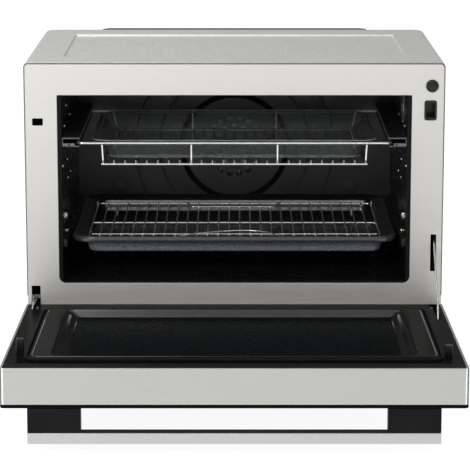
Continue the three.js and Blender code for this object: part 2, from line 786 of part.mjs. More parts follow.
const postY = out(closedOut(switchZ));
const [postX0, postX1] = [switchX - postWidth / 2, switchX + postWidth / 2];
piece('switch_post',
  block(postX0, postX1, postY - postDeep / 2, postY + postDeep / 2, face + gap, face + postReach),
  blackPlastic, door);

function hingeStrap() {
  // forked steel strap that runs from the door into the notch of the front frame
  const [x0, x1] = span(-1, pocketFar - 4.6, pocketFar - 1);
  const shape = new THREE.Shape();
  shape.moveTo(out(44), face - 6);
  shape.lineTo(out(30), face - 6);
  shape.lineTo(out(-2), face + 6);
  shape.lineTo(out(-2), face + 12);
  shape.lineTo(out(3), face + 12);
  shape.lineTo(out(34), face + 2);
  shape.lineTo(out(44), face + 2);
  return alongX(shape, x0 + 0.4, x1);
}
piece('hinge_strap_left', cut(
  hingeStrap(), block(-half, 0, out(60), out(pocketLength - 1), face - 10, face + 30),
), wireSteel, door);

// ---------- support link: pivots on the door and slides through its slot in the front frame ----------
const linkPivot = new THREE.Vector2(-linkPivotOut, sill - linkPivotDown);
function supportLink() {
  const at = (from, length, degrees) => new THREE.Vector2(
    from.x + length * Math.cos(THREE.MathUtils.degToRad(degrees)),
    from.y + length * Math.sin(THREE.MathUtils.degToRad(degrees)),
  );
  const bend = at(linkPivot, linkFoot, linkFootAngle);
  const tip = at(bend, linkArm, linkArmAngle);
  const [x0, x1] = [linkX - linkThick / 2, linkX + linkThick / 2];
  const stretch = (a, b) => {
    const along = b.clone().sub(a).setLength(linkHalf);
    const side = new THREE.Vector2(-along.y, along.x);
    const shape = new THREE.Shape();
    shape.moveTo(a.x - side.x, a.y - side.y);
    shape.lineTo(b.x - side.x, b.y - side.y);
    shape.lineTo(b.x + side.x, b.y + side.y);
    shape.lineTo(a.x + side.x, a.y + side.y);
    return alongX(shape, x0, x1);
  };
  const eyes = [linkPivot, bend, tip].map((p) => rod('x', linkHalf, x0, x1, p.x, p.y, 16));
  const roller = rod('x', 4, x0 - 4, x1, tip.x, tip.y, 16);
  const pin = rod('x', 2, x0, half - doorWall - gap, linkPivot.x, linkPivot.y, 12);
  return joined(stretch(linkPivot, bend), stretch(bend, tip), ...eyes, roller, pin);
}
piece('support_link', supportLink(), wireSteel);

// ---------- upper shelf: wire basket with a glass tray ----------
const basketHalf = cavityHalf - gap - railWidth + basketWire / 2 + 1;
const basketZ = sill + railZ + railSheet + gap + basketWire / 2;
const basketBack = cavityBack - basketRear;
const gridHalf = basketHalf - basketInset;
const gridZ = basketZ - basketDrop;

function wireX(x, y, z, length, thick) {
  return block(x - length / 2, x + length / 2, y - thick / 2, y + thick / 2, z - thick / 2, z + thick / 2);
}
function wireY(x, y0, y1, z, thick) {
  return block(x - thick / 2, x + thick / 2, y0, y1, z - thick / 2, z + thick / 2);
}

function wireBasket() {
  const wires = [];
  for (const y of [basketFront, basketBack]) {
    wires.push(wireX(0, y, basketZ, 2 * basketHalf + basketWire, basketWire));
    wires.push(wireX(0, y, gridZ, 2 * gridHalf + barThick, barThick));
    for (const k of [-1, -1 / 3, 1 / 3, 1]) {
      const x = k * gridHalf;
      const h = barThick / 2;
      wires.push(block(x - h, x + h, y - h, y + h, gridZ, basketZ));
    }
  }
  for (const [, side] of sides) {
    wires.push(wireY(side * basketHalf, basketFront, basketBack, basketZ, basketWire));
  }
  for (let i = 0; i <= basketBars; i += 1) {
    const x = -gridHalf + (2 * gridHalf * i) / basketBars;
    wires.push(wireY(x, basketFront, basketBack, gridZ, i % 8 ? 2.2 : barThick));
  }
  return joined(...wires);
}
piece('wire_basket', wireBasket(), wireSteel);

const glassHalf = basketHalf - glassFlange;
const glassLow = gridZ + barThick / 2 + gap;
const glassLength = basketBack - basketFront - glassEnds;
const glassY0 = basketFront + glassEnds / 2 + 5;
const glassY1 = glassY0 + glassLength;
const glassTop = glassLow + glassDeep;
piece('glass_tray', cut(
  leaning(-glassHalf, glassHalf, glassY0, glassY1, glassLow, glassTop, glassCorner, glassTaper),
  leaning(
    -glassHalf + glassWall, glassHalf - glassWall, glassY0 + glassWall, glassY1 - glassWall,
    glassLow + glassWall, glassTop + 0.01, glassCorner - 2, glassTaper,
  ),
), clearGlass);

// ---------- lower shelf: enamel tray with a wire grid ----------
const trayHalf = cavityHalf - traySide;
const trayBack = cavityBack - trayRear;
const rimTop = sill + trayZ;
const trayLow = rimTop - trayDeep;

function enamelTray() {
  const wallX = trayHalf - trayRim;
  const y0 = trayFront + trayRim;
  const y1 = trayBack - trayRim;
  const rimPlan = roundedRectangle(-trayHalf, trayHalf, trayFront, trayBack, trayRimCorner);
  const rim = alongZ(rimPlan, rimTop - trayWall, rimTop, 6);
  const bowl = leaning(-wallX, wallX, y0, y1, trayLow, rimTop, trayCorner, trayTaper);
  const inside = leaning(
    -wallX + trayWall, wallX - trayWall, y0 + trayWall, y1 - trayWall,
    trayLow + trayWall, rimTop + 0.01, trayCorner - trayWall, trayTaper,
  );
  return cut(joined(rim, bowl), inside);
}
piece('enamel_tray', enamelTray(), enamel);

function wireGrid() {
  const x = trayHalf - trayRim - trayWall - trayTaper / 2 - gridInset;
  const y0 = trayFront + trayRim + trayWall + trayTaper / 2 + gridInset;
  const y1 = trayBack - trayRim - trayWall - trayTaper / 2 - gridInset - 18;
  const z = trayLow + trayWall + gridHeight;
  const wires = [
    wireX(0, y0, z, 2 * x + gridWire, gridWire),
    wireX(0, y1, z, 2 * x + gridWire, gridWire),
    wireX(0, (y0 + y1) / 2, z, 2 * x + gridWire, gridWire),
  ];
  for (let i = 0; i <= gridBars; i += 1) {
    wires.push(wireY(-x + (2 * x * i) / gridBars, y0, y1, z, i % gridBars ? gridWire - 0.6 : gridWire));
  }
  const footX = x - (4 * x) / gridBars; // the feet are under the second bar from each side
  for (const [, side] of sides) {
    for (const y of [y0 + 30, y1 - 30]) {
      wires.push(block(side * footX - 1, side * footX + 1, y - 2, y + 2, trayLow + trayWall + gap, z));
    }
  }
  return joined(...wires);
}
piece('wire_grid', wireGrid(), wireSteel);

// ---------- bay under the cavity: drip tray and water tank ----------
const bayLow = baseTop + gap + 1;
const bayHigh = shelfLow - bayGap;
const bayFront = -4;
const tankX1 = pocketNear - 8;
const tankX0 = tankX1 - tankWidth;

function openBox(x0, x1, y0, y1, z0, z1, wall, frontWall) {
  return cut(
    block(x0, x1, y0, y1, z0, z1),
    block(x0 + wall, x1 - wall, y0 + frontWall, y1 - wall, z0 + wall, z1 + 1),
  );
}
piece('drip_tray', openBox(
  -pocketNear + 8, tankX0 - bayGap, bayFront, bayFront + trayBayDeep, bayLow, bayHigh, 2.5, 8,
), blackPlastic);
const lidLow = bayHigh - 3;
piece('water_tank', openBox(
  tankX0, tankX1, bayFront, bayFront + tankDeep, bayLow, lidLow - gap, 2.5, 8,
), clearPlastic);
piece('tank_lid', cut(
  block(tankX0, tankX1, bayFront + 10, bayFront + tankDeep, lidLow, bayHigh),
  rod('z', 14, lidLow - 1, bayHigh + 1, (tankX0 + tankX1) / 2, bayFront + tankDeep - 40, 20),
), blackPlastic);

// ---------- place the assembly on its origin ----------
const extent = new THREE.Box3().setFromObject(assembly);
assembly.position.set(0, -(extent.min.y + extent.max.y) / 2, -extent.min.z);
const group = new THREE.Group();
group.add(assembly);
export default group;
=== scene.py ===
import json
import math
import bmesh
import bpy
from mathutils import Matrix, Vector


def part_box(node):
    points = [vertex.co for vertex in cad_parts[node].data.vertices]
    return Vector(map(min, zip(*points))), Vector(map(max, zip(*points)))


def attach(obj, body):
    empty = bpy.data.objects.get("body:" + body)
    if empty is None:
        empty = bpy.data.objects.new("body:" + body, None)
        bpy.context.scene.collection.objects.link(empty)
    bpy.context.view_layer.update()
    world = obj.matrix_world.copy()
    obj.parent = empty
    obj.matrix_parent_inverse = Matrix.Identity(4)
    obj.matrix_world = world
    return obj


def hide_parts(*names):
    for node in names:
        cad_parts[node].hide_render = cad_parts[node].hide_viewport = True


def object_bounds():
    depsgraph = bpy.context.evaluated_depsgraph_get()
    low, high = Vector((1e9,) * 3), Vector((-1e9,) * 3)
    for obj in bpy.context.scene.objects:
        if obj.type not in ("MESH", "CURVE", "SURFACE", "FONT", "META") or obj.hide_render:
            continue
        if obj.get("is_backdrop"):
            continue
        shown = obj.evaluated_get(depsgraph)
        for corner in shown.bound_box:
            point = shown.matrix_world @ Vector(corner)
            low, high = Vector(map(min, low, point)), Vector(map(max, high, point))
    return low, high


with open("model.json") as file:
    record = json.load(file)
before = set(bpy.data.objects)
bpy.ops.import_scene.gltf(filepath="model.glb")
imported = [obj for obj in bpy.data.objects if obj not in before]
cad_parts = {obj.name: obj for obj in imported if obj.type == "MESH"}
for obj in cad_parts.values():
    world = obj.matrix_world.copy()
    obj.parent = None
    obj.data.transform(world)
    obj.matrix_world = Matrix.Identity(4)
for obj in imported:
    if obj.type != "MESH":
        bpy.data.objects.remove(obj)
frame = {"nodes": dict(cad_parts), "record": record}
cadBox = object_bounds()
print("frame loaded:", len(frame["nodes"]), "nodes")

# Places are in millimetres from the front plane, the middle and the floor, as the frame has them.
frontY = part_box("front_frame")[0].y
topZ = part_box("casing_wrap")[1].z * 1000
sillZ = topZ - 290
cabinetPlace = Matrix.Translation((0, frontY, 0)) @ Matrix.Scale(0.001, 4)
nodePlace = Matrix.Scale(0.001, 4)
doorHinge = Vector((0, frontY - 0.0276, (sillZ - 22.3) / 1000))
doorPlace = Matrix.Translation(doorHinge) @ Matrix.Rotation(math.radians(-1.5), 4, "X") @ Matrix.Scale(0.001, 4)
doorFace = 22.3  # inner face of the door above its hinge axis


def outFrom(distance):
    return 27.6 - distance  # on the door, this far in front of the front plane


# materials

def newMaterial(name, color, roughness, metallic=0.0, specular=0.5):
    mat = bpy.data.materials.new(name)
    mat.use_nodes = True
    mat.diffuse_color = (*color, 1)
    shader = mat.node_tree.nodes["Principled BSDF"]
    shader.inputs["Base Color"].default_value = (*color, 1)
    shader.inputs["Roughness"].default_value = roughness
    shader.inputs["Metallic"].default_value = metallic
    shader.inputs["Specular IOR Level"].default_value = specular
    return mat, shader


def noiseOn(mat, scale, stretch=(1, 1, 1), detail=3.0):
    tree = mat.node_tree
    coords = tree.nodes.new("ShaderNodeTexCoord")
    mapping = tree.nodes.new("ShaderNodeMapping")
    mapping.inputs["Scale"].default_value = stretch
    noise = tree.nodes.new("ShaderNodeTexNoise")
    noise.inputs["Scale"].default_value = scale
    noise.inputs["Detail"].default_value = detail
    noise.inputs["Roughness"].default_value = 0.5
    tree.links.new(coords.outputs["Object"], mapping.inputs["Vector"])
    tree.links.new(mapping.outputs["Vector"], noise.inputs["Vector"])
    return noise


def spread(mat, source, low, high):
    tree = mat.node_tree
    ranged = tree.nodes.new("ShaderNodeMapRange")
    ranged.inputs["From Min"].default_value = 0.3  # noise seldom goes past these
    ranged.inputs["From Max"].default_value = 0.7
    ranged.inputs["To Min"].default_value = low
    ranged.inputs["To Max"].default_value = high
    tree.links.new(source, ranged.inputs["Value"])
    return ranged.outputs["Result"]


def tinted(mat, source, darkColor, lightColor, fromLow=0.3, fromHigh=0.7):
    tree = mat.node_tree
    ramp = tree.nodes.new("ShaderNodeValToRGB")
    ramp.color_ramp.elements[0].position = fromLow
    ramp.color_ramp.elements[1].position = fromHigh
    ramp.color_ramp.elements[0].color = (*darkColor, 1)
    ramp.color_ramp.elements[1].color = (*lightColor, 1)
    tree.links.new(source, ramp.inputs["Fac"])
    return ramp.outputs["Color"]


def bumped(mat, shader, source, strength, distance):
    tree = mat.node_tree
    bump = tree.nodes.new("ShaderNodeBump")
    bump.inputs["Strength"].default_value = strength
    bump.inputs["Distance"].default_value = distance
    tree.links.new(source, bump.inputs["Height"])
    tree.links.new(bump.outputs["Normal"], shader.inputs["Normal"])


steelLook = {"grainAcross": 1000.0, "grainAlong": 30.0, "cloud": 6.0, "cloudShare": 0.35, "depth": 0.00005}


def brushedSteel(name, axis, color, darker, rough=(0.30, 0.44), metallic=1.0):
    mat, shader = newMaterial(name, color, rough[0], metallic)
    across, along = steelLook["grainAcross"], steelLook["grainAlong"]
    stretch = tuple(along if i == axis else across for i in range(3))
    grain = noiseOn(mat, 1.0, stretch, 2.0)
    cloud = noiseOn(mat, steelLook["cloud"], (1, 1, 1), 2.0)
    link = mat.node_tree.links.new
    link(spread(mat, grain.outputs["Fac"], rough[0], rough[1]), shader.inputs["Roughness"])
    mixed = mat.node_tree.nodes.new("ShaderNodeMix")
    mixed.data_type = "FLOAT"
    mixed.inputs["Factor"].default_value = steelLook["cloudShare"]
    link(grain.outputs["Fac"], mixed.inputs["A"])
    link(cloud.outputs["Fac"], mixed.inputs["B"])
    link(tinted(mat, mixed.outputs["Result"], darker, color, 0.35, 0.62), shader.inputs["Base Color"])
    bumped(mat, shader, grain.outputs["Fac"], 0.03, steelLook["depth"])
    return mat


def enamelFinish(name, low, high, rough, peel=0.06, specular=0.5):
    mat, shader = newMaterial(name, high, rough, 0.0, specular)
    speck = noiseOn(mat, 900.0, (1, 1, 1), 1.0)
    skin = noiseOn(mat, 160.0, (1, 1, 1), 2.0)
    link = mat.node_tree.links.new
    link(tinted(mat, speck.outputs["Fac"], low, high, 0.45, 0.75), shader.inputs["Base Color"])
    link(spread(mat, skin.outputs["Fac"], rough * 0.85, rough * 1.2), shader.inputs["Roughness"])
    bumped(mat, shader, skin.outputs["Fac"], peel, 0.0003)
    return mat


def mouldedPlastic(name, color, rough, grain=0.15, specular=0.5):
    mat, shader = newMaterial(name, color, rough, 0.0, specular)
    fine = noiseOn(mat, 1400.0, (1, 1, 1), 2.0)
    broad = noiseOn(mat, 30.0, (1, 1, 1), 2.0)
    link = mat.node_tree.links.new
    lighter = tuple(c * 1.35 + 0.002 for c in color)
    link(tinted(mat, broad.outputs["Fac"], color, lighter), shader.inputs["Base Color"])
    link(spread(mat, fine.outputs["Fac"], rough * 0.85, rough * 1.15), shader.inputs["Roughness"])
    bumped(mat, shader, fine.outputs["Fac"], grain, 0.0001)
    return mat


def polishedWire(name, color, rough, metallic=1.0):
    mat, shader = newMaterial(name, color, rough, metallic)
    drawn = noiseOn(mat, 220.0, (1, 1, 1), 2.0)
    link = mat.node_tree.links.new
    link(spread(mat, drawn.outputs["Fac"], rough * 0.7, rough * 1.5), shader.inputs["Roughness"])
    link(tinted(mat, drawn.outputs["Fac"], tuple(c * 0.88 for c in color), color), shader.inputs["Base Color"])
    return mat


def clearGlass(name, tint, rough, clear=0.95):
    mat, shader = newMaterial(name, tint, rough)
    shader.inputs["Transmission Weight"].default_value = clear
    shader.inputs["IOR"].default_value = 1.46
    wave = noiseOn(mat, 14.0, (1, 1, 1), 1.0)
    bumped(mat, shader, wave.outputs["Fac"], 0.05, 0.002)
    mat.node_tree.links.new(spread(mat, wave.outputs["Fac"], rough * 0.5, rough * 1.5), shader.inputs["Roughness"])
    return mat


frontSteel = brushedSteel("frontSteel", 0, (0.70, 0.69, 0.665), (0.66, 0.65, 0.625), (0.47, 0.56), 0.78)
doorSteel = brushedSteel("doorSteel", 0, (0.51, 0.515, 0.485), (0.475, 0.48, 0.45), (0.40, 0.50))
barSteel = brushedSteel("barSteel", 0, (0.53, 0.53, 0.53), (0.495, 0.495, 0.495), (0.34, 0.44))
caseSteel = brushedSteel("caseSteel", 1, (0.84, 0.835, 0.81), (0.80, 0.795, 0.77), (0.42, 0.55), 0.75)
zincSteel = brushedSteel("zincSteel", 1, (0.42, 0.43, 0.45), (0.34, 0.35, 0.37), (0.34, 0.5))
railSteel = brushedSteel("railSteel", 1, (0.20, 0.20, 0.215), (0.15, 0.15, 0.16), (0.34, 0.5))
# painted shade: a dark finish for the ring that stands in for the shadow in the gap round the front plate
gapShadePaint = mouldedPlastic("gapShadePaint", (0.13, 0.13, 0.12), 0.5)
cavityEnamel = enamelFinish("cavityEnamel", (0.008, 0.008, 0.009), (0.022, 0.022, 0.024), 0.26, 0.05, 0.35)
pressedEnamel = enamelFinish("pressedEnamel", (0.010, 0.010, 0.010), (0.020, 0.020, 0.020), 0.12, 0.02, 1.0)
pressedEnamel.node_tree.nodes["Principled BSDF"].inputs["IOR"].default_value = 2.3
backEnamel = enamelFinish("backEnamel", (0.055, 0.055, 0.062), (0.095, 0.095, 0.105), 0.38)
trayEnamel = enamelFinish("trayEnamel", (0.008, 0.009, 0.012), (0.036, 0.040, 0.048), 0.16, 0.10, 0.8)
# painted highlight: a lighter copy of the tray enamel for the lip's outer edge
lipPaintedHighlight = enamelFinish("lipPaintedHighlight", (0.030, 0.032, 0.036), (0.085, 0.090, 0.100), 0.16, 0.10, 0.8)
panelEnamel = enamelFinish("panelEnamel", (0.005, 0.005, 0.0045), (0.010, 0.010, 0.0085), 0.22, 0.01, 0.004)
edgeEnamel = enamelFinish("edgeEnamel", (0.004, 0.004, 0.004), (0.007, 0.007, 0.007), 0.12, 0.01, 0.05)
rimEnamel = enamelFinish("rimEnamel", (0.006, 0.006, 0.006), (0.010, 0.010, 0.010), 0.14, 0.01, 0.6)
# painted highlight: a lighter copy of the door enamel for the slope next to the oven
slopePaintedHighlight = enamelFinish("slopePaintedHighlight", (0.045, 0.046, 0.050), (0.080, 0.080, 0.088), 0.18, 0.01, 0.5)
# painted light: a much lighter copy of the tray enamel for the outer walls, standing in for light from the front and
# below
trayWallPaintedLight = enamelFinish("trayWallPaintedLight", (0.12, 0.13, 0.15), (0.42, 0.44, 0.50), 0.3, 0.1, 0.5)
windowGlass = enamelFinish("windowGlass", (0.0040, 0.0048, 0.0055), (0.0060, 0.0068, 0.0075), 0.28, 0.01, 0.006)
blackPlastic = mouldedPlastic("blackPlastic", (0.003, 0.003, 0.0034), 0.5, 0.15, 0.12)
glossPlastic = mouldedPlastic("glossPlastic", (0.006, 0.006, 0.007), 0.20, 0.05, 0.3)
blackRubber = mouldedPlastic("blackRubber", (0.008, 0.008, 0.008), 0.7, 0.4, 0.08)
brightWire = polishedWire("brightWire", (0.88, 0.88, 0.87), 0.14, 0.85)
# painted light: a lighter, partly diffuse copy of the wire for the rear wires
rearWirePaintedLight = polishedWire("rearWirePaintedLight", (0.92, 0.92, 0.90), 0.2, 0.3)
# painted highlight: a bright, partly diffuse copy of the steel for the door's rounded corners
cornerPaintedHighlight = polishedWire("cornerPaintedHighlight", (0.95, 0.95, 0.93), 0.25, 0.35)
# painted shade: a dark copy of the wire finish, used on the door corner's side and on the bars under the dish
paintedShadeWire = polishedWire("paintedShadeWire", (0.16, 0.16, 0.16), 0.3)
linkSteel = polishedWire("linkSteel", (0.80, 0.80, 0.78), 0.18)
brassPipe = polishedWire("brassPipe", (0.62, 0.44, 0.20), 0.3)
trayGlass = clearGlass("trayGlass", (0.92, 0.97, 0.93), 0.03)
# painted highlight: a paler, less clear copy of the glass for the bright lines along the dish's edges
glassEdgeHighlight = clearGlass("glassEdgeHighlight", (0.80, 0.86, 0.82), 0.25, 0.45)
tankPlastic = clearGlass("tankPlastic", (0.72, 0.80, 0.86), 0.08)
boardGreen = mouldedPlastic("boardGreen", (0.02, 0.11, 0.05), 0.5)
print("materials made")


# mesh helpers

def sharpEdges(bm, degrees):
    return [e for e in bm.edges if len(e.link_faces) == 2 and e.calc_face_angle(0) > math.radians(degrees)]


def bevelSome(bm, edges, width, segments=2, clamp=False):
    if edges:
        bmesh.ops.bevel(bm, geom=edges, offset=width, offset_type="OFFSET", segments=segments,
                        profile=0.5, affect="EDGES", material=-1, clamp_overlap=clamp)


def box(bm, x0, x1, y0, y1, z0, z1, soft=0.0, segments=2):
    middle = Matrix.Translation(((x0 + x1) / 2, (y0 + y1) / 2, (z0 + z1) / 2))
    size = Matrix.Diagonal((x1 - x0, y1 - y0, z1 - z0, 1))
    verts = bmesh.ops.create_cube(bm, size=1, matrix=middle @ size)["verts"]
    if soft:
        bevelSome(bm, list(dict.fromkeys(e for v in verts for e in v.link_edges)), soft, segments, True)
    return verts


def rod(bm, start, end, radius, sides=10):
    a, b = Vector(start), Vector(end)
    turn = (b - a).to_track_quat("Z", "Y").to_matrix().to_4x4()
    return bmesh.ops.create_cone(
        bm, cap_ends=True, segments=sides, radius1=radius, radius2=radius, depth=(b - a).length,
        matrix=Matrix.Translation((a + b) / 2) @ turn)["verts"]


def ringEdges(verts):
    inRing = set(verts)
    return list(dict.fromkeys(e for v in verts for e in v.link_edges if e.other_vert(v) in inRing))


def bentWire(bm, points, radius, sides=10, closed=False):
    # a round wire drawn through the points
    path = [Vector(p) for p in points]
    count = len(path)
    tangents = []
    for i in range(count):
        before = path[i - 1] if (i or closed) else path[i]
        after = path[(i + 1) % count] if (i < count - 1 or closed) else path[i]
        tangents.append((after - before).normalized())
    turn = tangents[0].to_track_quat("Z", "Y").to_matrix().to_4x4()
    ring = bmesh.ops.create_circle(bm, cap_ends=False, radius=radius, segments=sides,
                                   matrix=Matrix.Translation(path[0]) @ turn)["verts"]
    edges = ringEdges(ring)
    firstEdges = edges
    for i in range(1, count):
        made = bmesh.ops.extrude_edge_only(bm, edges=edges)["geom"]
        verts = [g for g in made if isinstance(g, bmesh.types.BMVert)]
        step = (Matrix.Translation(path[i]) @ tangents[i - 1].rotation_difference(tangents[i]).to_matrix().to_4x4()
                @ Matrix.Translation(-path[i - 1]))
        bmesh.ops.transform(bm, matrix=step, verts=verts)
        edges = ringEdges(verts)
    if closed:
        bmesh.ops.bridge_loops(bm, edges=edges + firstEdges)
    else:
        bmesh.ops.edgeloop_fill(bm, edges=firstEdges)
        bmesh.ops.edgeloop_fill(bm, edges=edges)


def filleted(points, radius, closed=False, steps=5):
    # the same path with its corners rounded
    path = [Vector(p) for p in points]
    count = len(path)
    rounded = []
    for i, corner in enumerate(path):
        if not closed and i in (0, count - 1):
            rounded.append(corner)
            continue
        before, after = path[i - 1], path[(i + 1) % count]
        cut = min(radius, (corner - before).length * 0.49, (after - corner).length * 0.49)
        a = corner + (before - corner).normalized() * cut
        b = corner + (after - corner).normalized() * cut
        for k in range(steps + 1):
            t = k / steps
            rounded.append(a * (1 - t) ** 2 + corner * 2 * t * (1 - t) + b * t * t)
    return rounded


def roundedRing(bm, x0, x1, y0, y1, radius, z, arcSteps=8):
    verts = []
    for cx, cy, start in ((x1 - radius, y0 + radius, -90), (x1 - radius, y1 - radius, 0),
                          (x0 + radius, y1 - radius, 90), (x0 + radius, y0 + radius, 180)):
        for k in range(arcSteps + 1):
            a = math.radians(start + 90 * k / arcSteps)
            verts.append(bm.verts.new((cx + radius * math.cos(a), cy + radius * math.sin(a), z)))
    return [bm.edges.new((verts[i], verts[(i + 1) % len(verts)])) for i in range(len(verts))]


def pressedSheet(bm, rings, closeFirst=True, closeLast=True, arcSteps=8):
    # skins the rings in turn, each (x0, x1, y0, y1, radius, z)
    loops = [roundedRing(bm, *ring, arcSteps=arcSteps) for ring in rings]
    strips = [bmesh.ops.bridge_loops(bm, edges=a + b)["faces"] for a, b in zip(loops, loops[1:])]
    if closeFirst:
        bmesh.ops.edgeloop_fill(bm, edges=loops[0])
    if closeLast:
        bmesh.ops.edgeloop_fill(bm, edges=loops[-1])
    return strips


def turned(bm, profile, center, axis, steps=48):
    # profile is (radius, along) pairs, spun round the axis through center
    center, axis = Vector(center), Vector(axis).normalized()
    side = axis.orthogonal().normalized()
    verts = [bm.verts.new(center + side * r + axis * h) for r, h in profile]
    edges = [bm.edges.new((a, b)) for a, b in zip(verts, verts[1:])]
    bmesh.ops.spin(bm, geom=verts + edges, cent=center, axis=axis, angle=math.radians(360), steps=steps,
                   use_merge=True, use_duplicate=False)


def nodeCopy(node, soft=0.0, segments=2, sharper=30):
    # a merged copy of a frame node, in millimetres, with its sharp edges eased
    bm = bmesh.new()
    bm.from_mesh(frame["nodes"][node].data)
    bmesh.ops.transform(bm, matrix=Matrix.Scale(1000, 4), verts=bm.verts)
    bmesh.ops.remove_doubles(bm, verts=bm.verts, dist=0.004)
    bmesh.ops.dissolve_limit(bm, angle_limit=math.radians(0.6), verts=bm.verts, edges=bm.edges)
    if soft:
        bevelSome(bm, sharpEdges(bm, sharper), soft, segments)
    return bm


def keepPiece(bm, name, body, material, nodes=(), place=nodePlace, smooth=38):
    bmesh.ops.remove_doubles(bm, verts=bm.verts, dist=0.0005)
    bmesh.ops.recalc_face_normals(bm, faces=bm.faces)
    bmesh.ops.transform(bm, matrix=place, verts=bm.verts)
    mesh = bpy.data.meshes.new(name)
    bm.to_mesh(mesh)
    bm.free()
    materials = material if isinstance(material, (list, tuple)) else [material]
    for mat in materials:
        mesh.materials.append(mat)
    mesh.shade_smooth()
    mesh.set_sharp_from_angle(angle=math.radians(smooth))
    piece = bpy.data.objects.new(name, mesh)
    bpy.context.scene.collection.objects.link(piece)
    weighted = piece.modifiers.new("weightedNormals", "WEIGHTED_NORMAL")  # keeps broad faces flat
    weighted.keep_sharp = True
    weighted.weight = 80
    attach(piece, body)
    if nodes:
        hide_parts(*nodes)
    return piece


def dress(node, material):
    mesh = frame["nodes"][node].data
    mesh.materials.clear()
    mesh.materials.append(material)


# casing

casing = {"fold": 1.0, "frameEdge": 1.8, "seamInset": 0.35}

keepPiece(nodeCopy("casing_wrap", casing["fold"], 3, 40), "casing", "cabinet", caseSteel,
          ["casing_wrap"])

bm = nodeCopy("front_frame")
for v in bm.verts:
    if abs(v.co.x) > 243 and v.co.z > topZ - 7:  # the rounded top corners shrink about their centres
        center = Vector((math.copysign(244, v.co.x), v.co.y, topZ - 6))
        v.co = center + (v.co - center) * (1 - casing["frameEdge"] / 6)
    elif abs(v.co.x) > 249.9:
        v.co.x = math.copysign(250 - casing["frameEdge"], v.co.x)
    elif v.co.z > topZ - 0.1:
        v.co.z = topZ - casing["frameEdge"]
bevelSome(bm, sharpEdges(bm, 40), 0.5, 2)
keepPiece(bm, "front_plate", "cabinet", frontSteel, ["front_frame"])

# a dark ring behind the front plate, painted shade standing in for the shadow in the gap round it
bm = bmesh.new()
inset = casing["seamInset"]
loops = (roundedRing(bm, -250 + inset, 250 - inset, 97, topZ - inset, 5.6, -3.0)
         + roundedRing(bm, -246, 246, 101, topZ - 4, 3, -3.0))
ringFaces = bmesh.ops.bridge_loops(bm, edges=loops)["faces"]
raised = bmesh.ops.extrude_face_region(bm, geom=ringFaces, use_keep_orig=True)["geom"]
bmesh.ops.translate(bm, vec=(0, 0, 2), verts=[g for g in raised if isinstance(g, bmesh.types.BMVert)])
upright = Matrix.Rotation(math.radians(90), 4, "X")
keepPiece(bm, "frame_gap_shade", "cabinet", gapShadePaint, place=cabinetPlace @ upright)

keepPiece(nodeCopy("rear_panel", 0.3, 1), "rear_sheet", "cabinet", zincSteel, ["rear_panel"])
bm = nodeCopy("rear_duct_cover", 0.6, 2)
for v in bm.verts:
    if v.co.z > topZ - 3:
        v.co.z += 1.3
keepPiece(bm, "rear_duct", "cabinet", blackPlastic, ["rear_duct_cover"])
keepPiece(nodeCopy("cord_inlet", 0.7, 2), "inlet", "cabinet", glossPlastic, ["cord_inlet"])
dress("base_pan", zincSteel)
dress("bay_shelf", blackPlastic)

foot = {"steps": 40}
for end in ("front", "rear"):
    for side in ("left", "right"):
        node = f"foot_{end}_{side}"
        low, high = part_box(node)
        middle = ((low + high) / 2) * 1000
        bm = bmesh.new()
        turned(bm, [(0, 0), (11, 0), (12.5, 0.5), (13.4, 1.6), (14.6, 5.4), (15.4, 5.9), (15.4, 6.6), (14.8, 7.0),
                    (15.2, 7.4), (16, 7.9), (16, 11.4), (15.5, 12), (0, 12)],
               (middle.x, middle.y, 0), (0, 0, 1), foot["steps"])
        keepPiece(bm, f"rubber_{node}", "cabinet", blackRubber, [node])
print("casing made")

# cavity

cavity = {
    "fanUp": 230.8,
    "ringRadius": 68.7,
    "ringWidth": 3.4,
    "outerRings": (99, 131),
    "wallMarks": ((56, 206), (70, 205), (20, 163), (98, 158), (104, 134), (88, 227), (150, 206), (150, 134)),
    "ledgeMarks": ((46, 90, 104), (63, 72, 80)),
    "wallRound": 1.4,
    "bulgeSide": 153,
    "bulgeUp": 84,
}
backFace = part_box("cavity_back")[0].y * 1000 - frontY * 1000

keepPiece(nodeCopy("cavity_back", 0.3, 1), "oven_back", "cabinet", backEnamel, ["cavity_back"])
for side in ("left", "right"):
    bm = nodeCopy(f"cavity_wall_{side}")
    low, high = (v * 1000 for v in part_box(f"cavity_wall_{side}"))
    wallX = high.x if side == "right" else low.x
    for v in bm.verts:
        ledge = abs(v.co.x - wallX) > 6
        if ledge and v.co.y < low.y + 12:  # the ledges run out into the wall at the front
            v.co.x += (wallX - v.co.x) * 0.62
            v.co.z -= 1.5
    bevelSome(bm, sharpEdges(bm, 20), cavity["wallRound"], 3, True)
    keepPiece(bm, f"oven_wall_{side}", "cabinet", cavityEnamel, [f"cavity_wall_{side}"], smooth=50)
for node in ("cavity_floor", "cavity_ceiling"):
    dress(node, cavityEnamel)
keepPiece(nodeCopy("cavity_rim", 0.3, 1), "oven_rim", "cabinet", blackRubber, ["cavity_rim"])

bm = nodeCopy("fan_cover", 0.25, 1)
keepPiece(bm, "fan_guard", "cabinet", backEnamel, ["fan_cover"])

bm = bmesh.new()
r, w = cavity["ringRadius"], cavity["ringWidth"]
faceY = backFace - 1.8
turned(bm, [(r - w, 0.0), (r - w + 0.8, 1.0), (r, 1.5), (r + w - 0.8, 1.0), (r + w, 0.0), (r, -0.1), (r - w, 0.0)],
       (0, faceY, cavity["fanUp"]), (0, -1, 0), 96)
keepPiece(bm, "fan_groove", "cabinet", blackRubber, place=cabinetPlace)

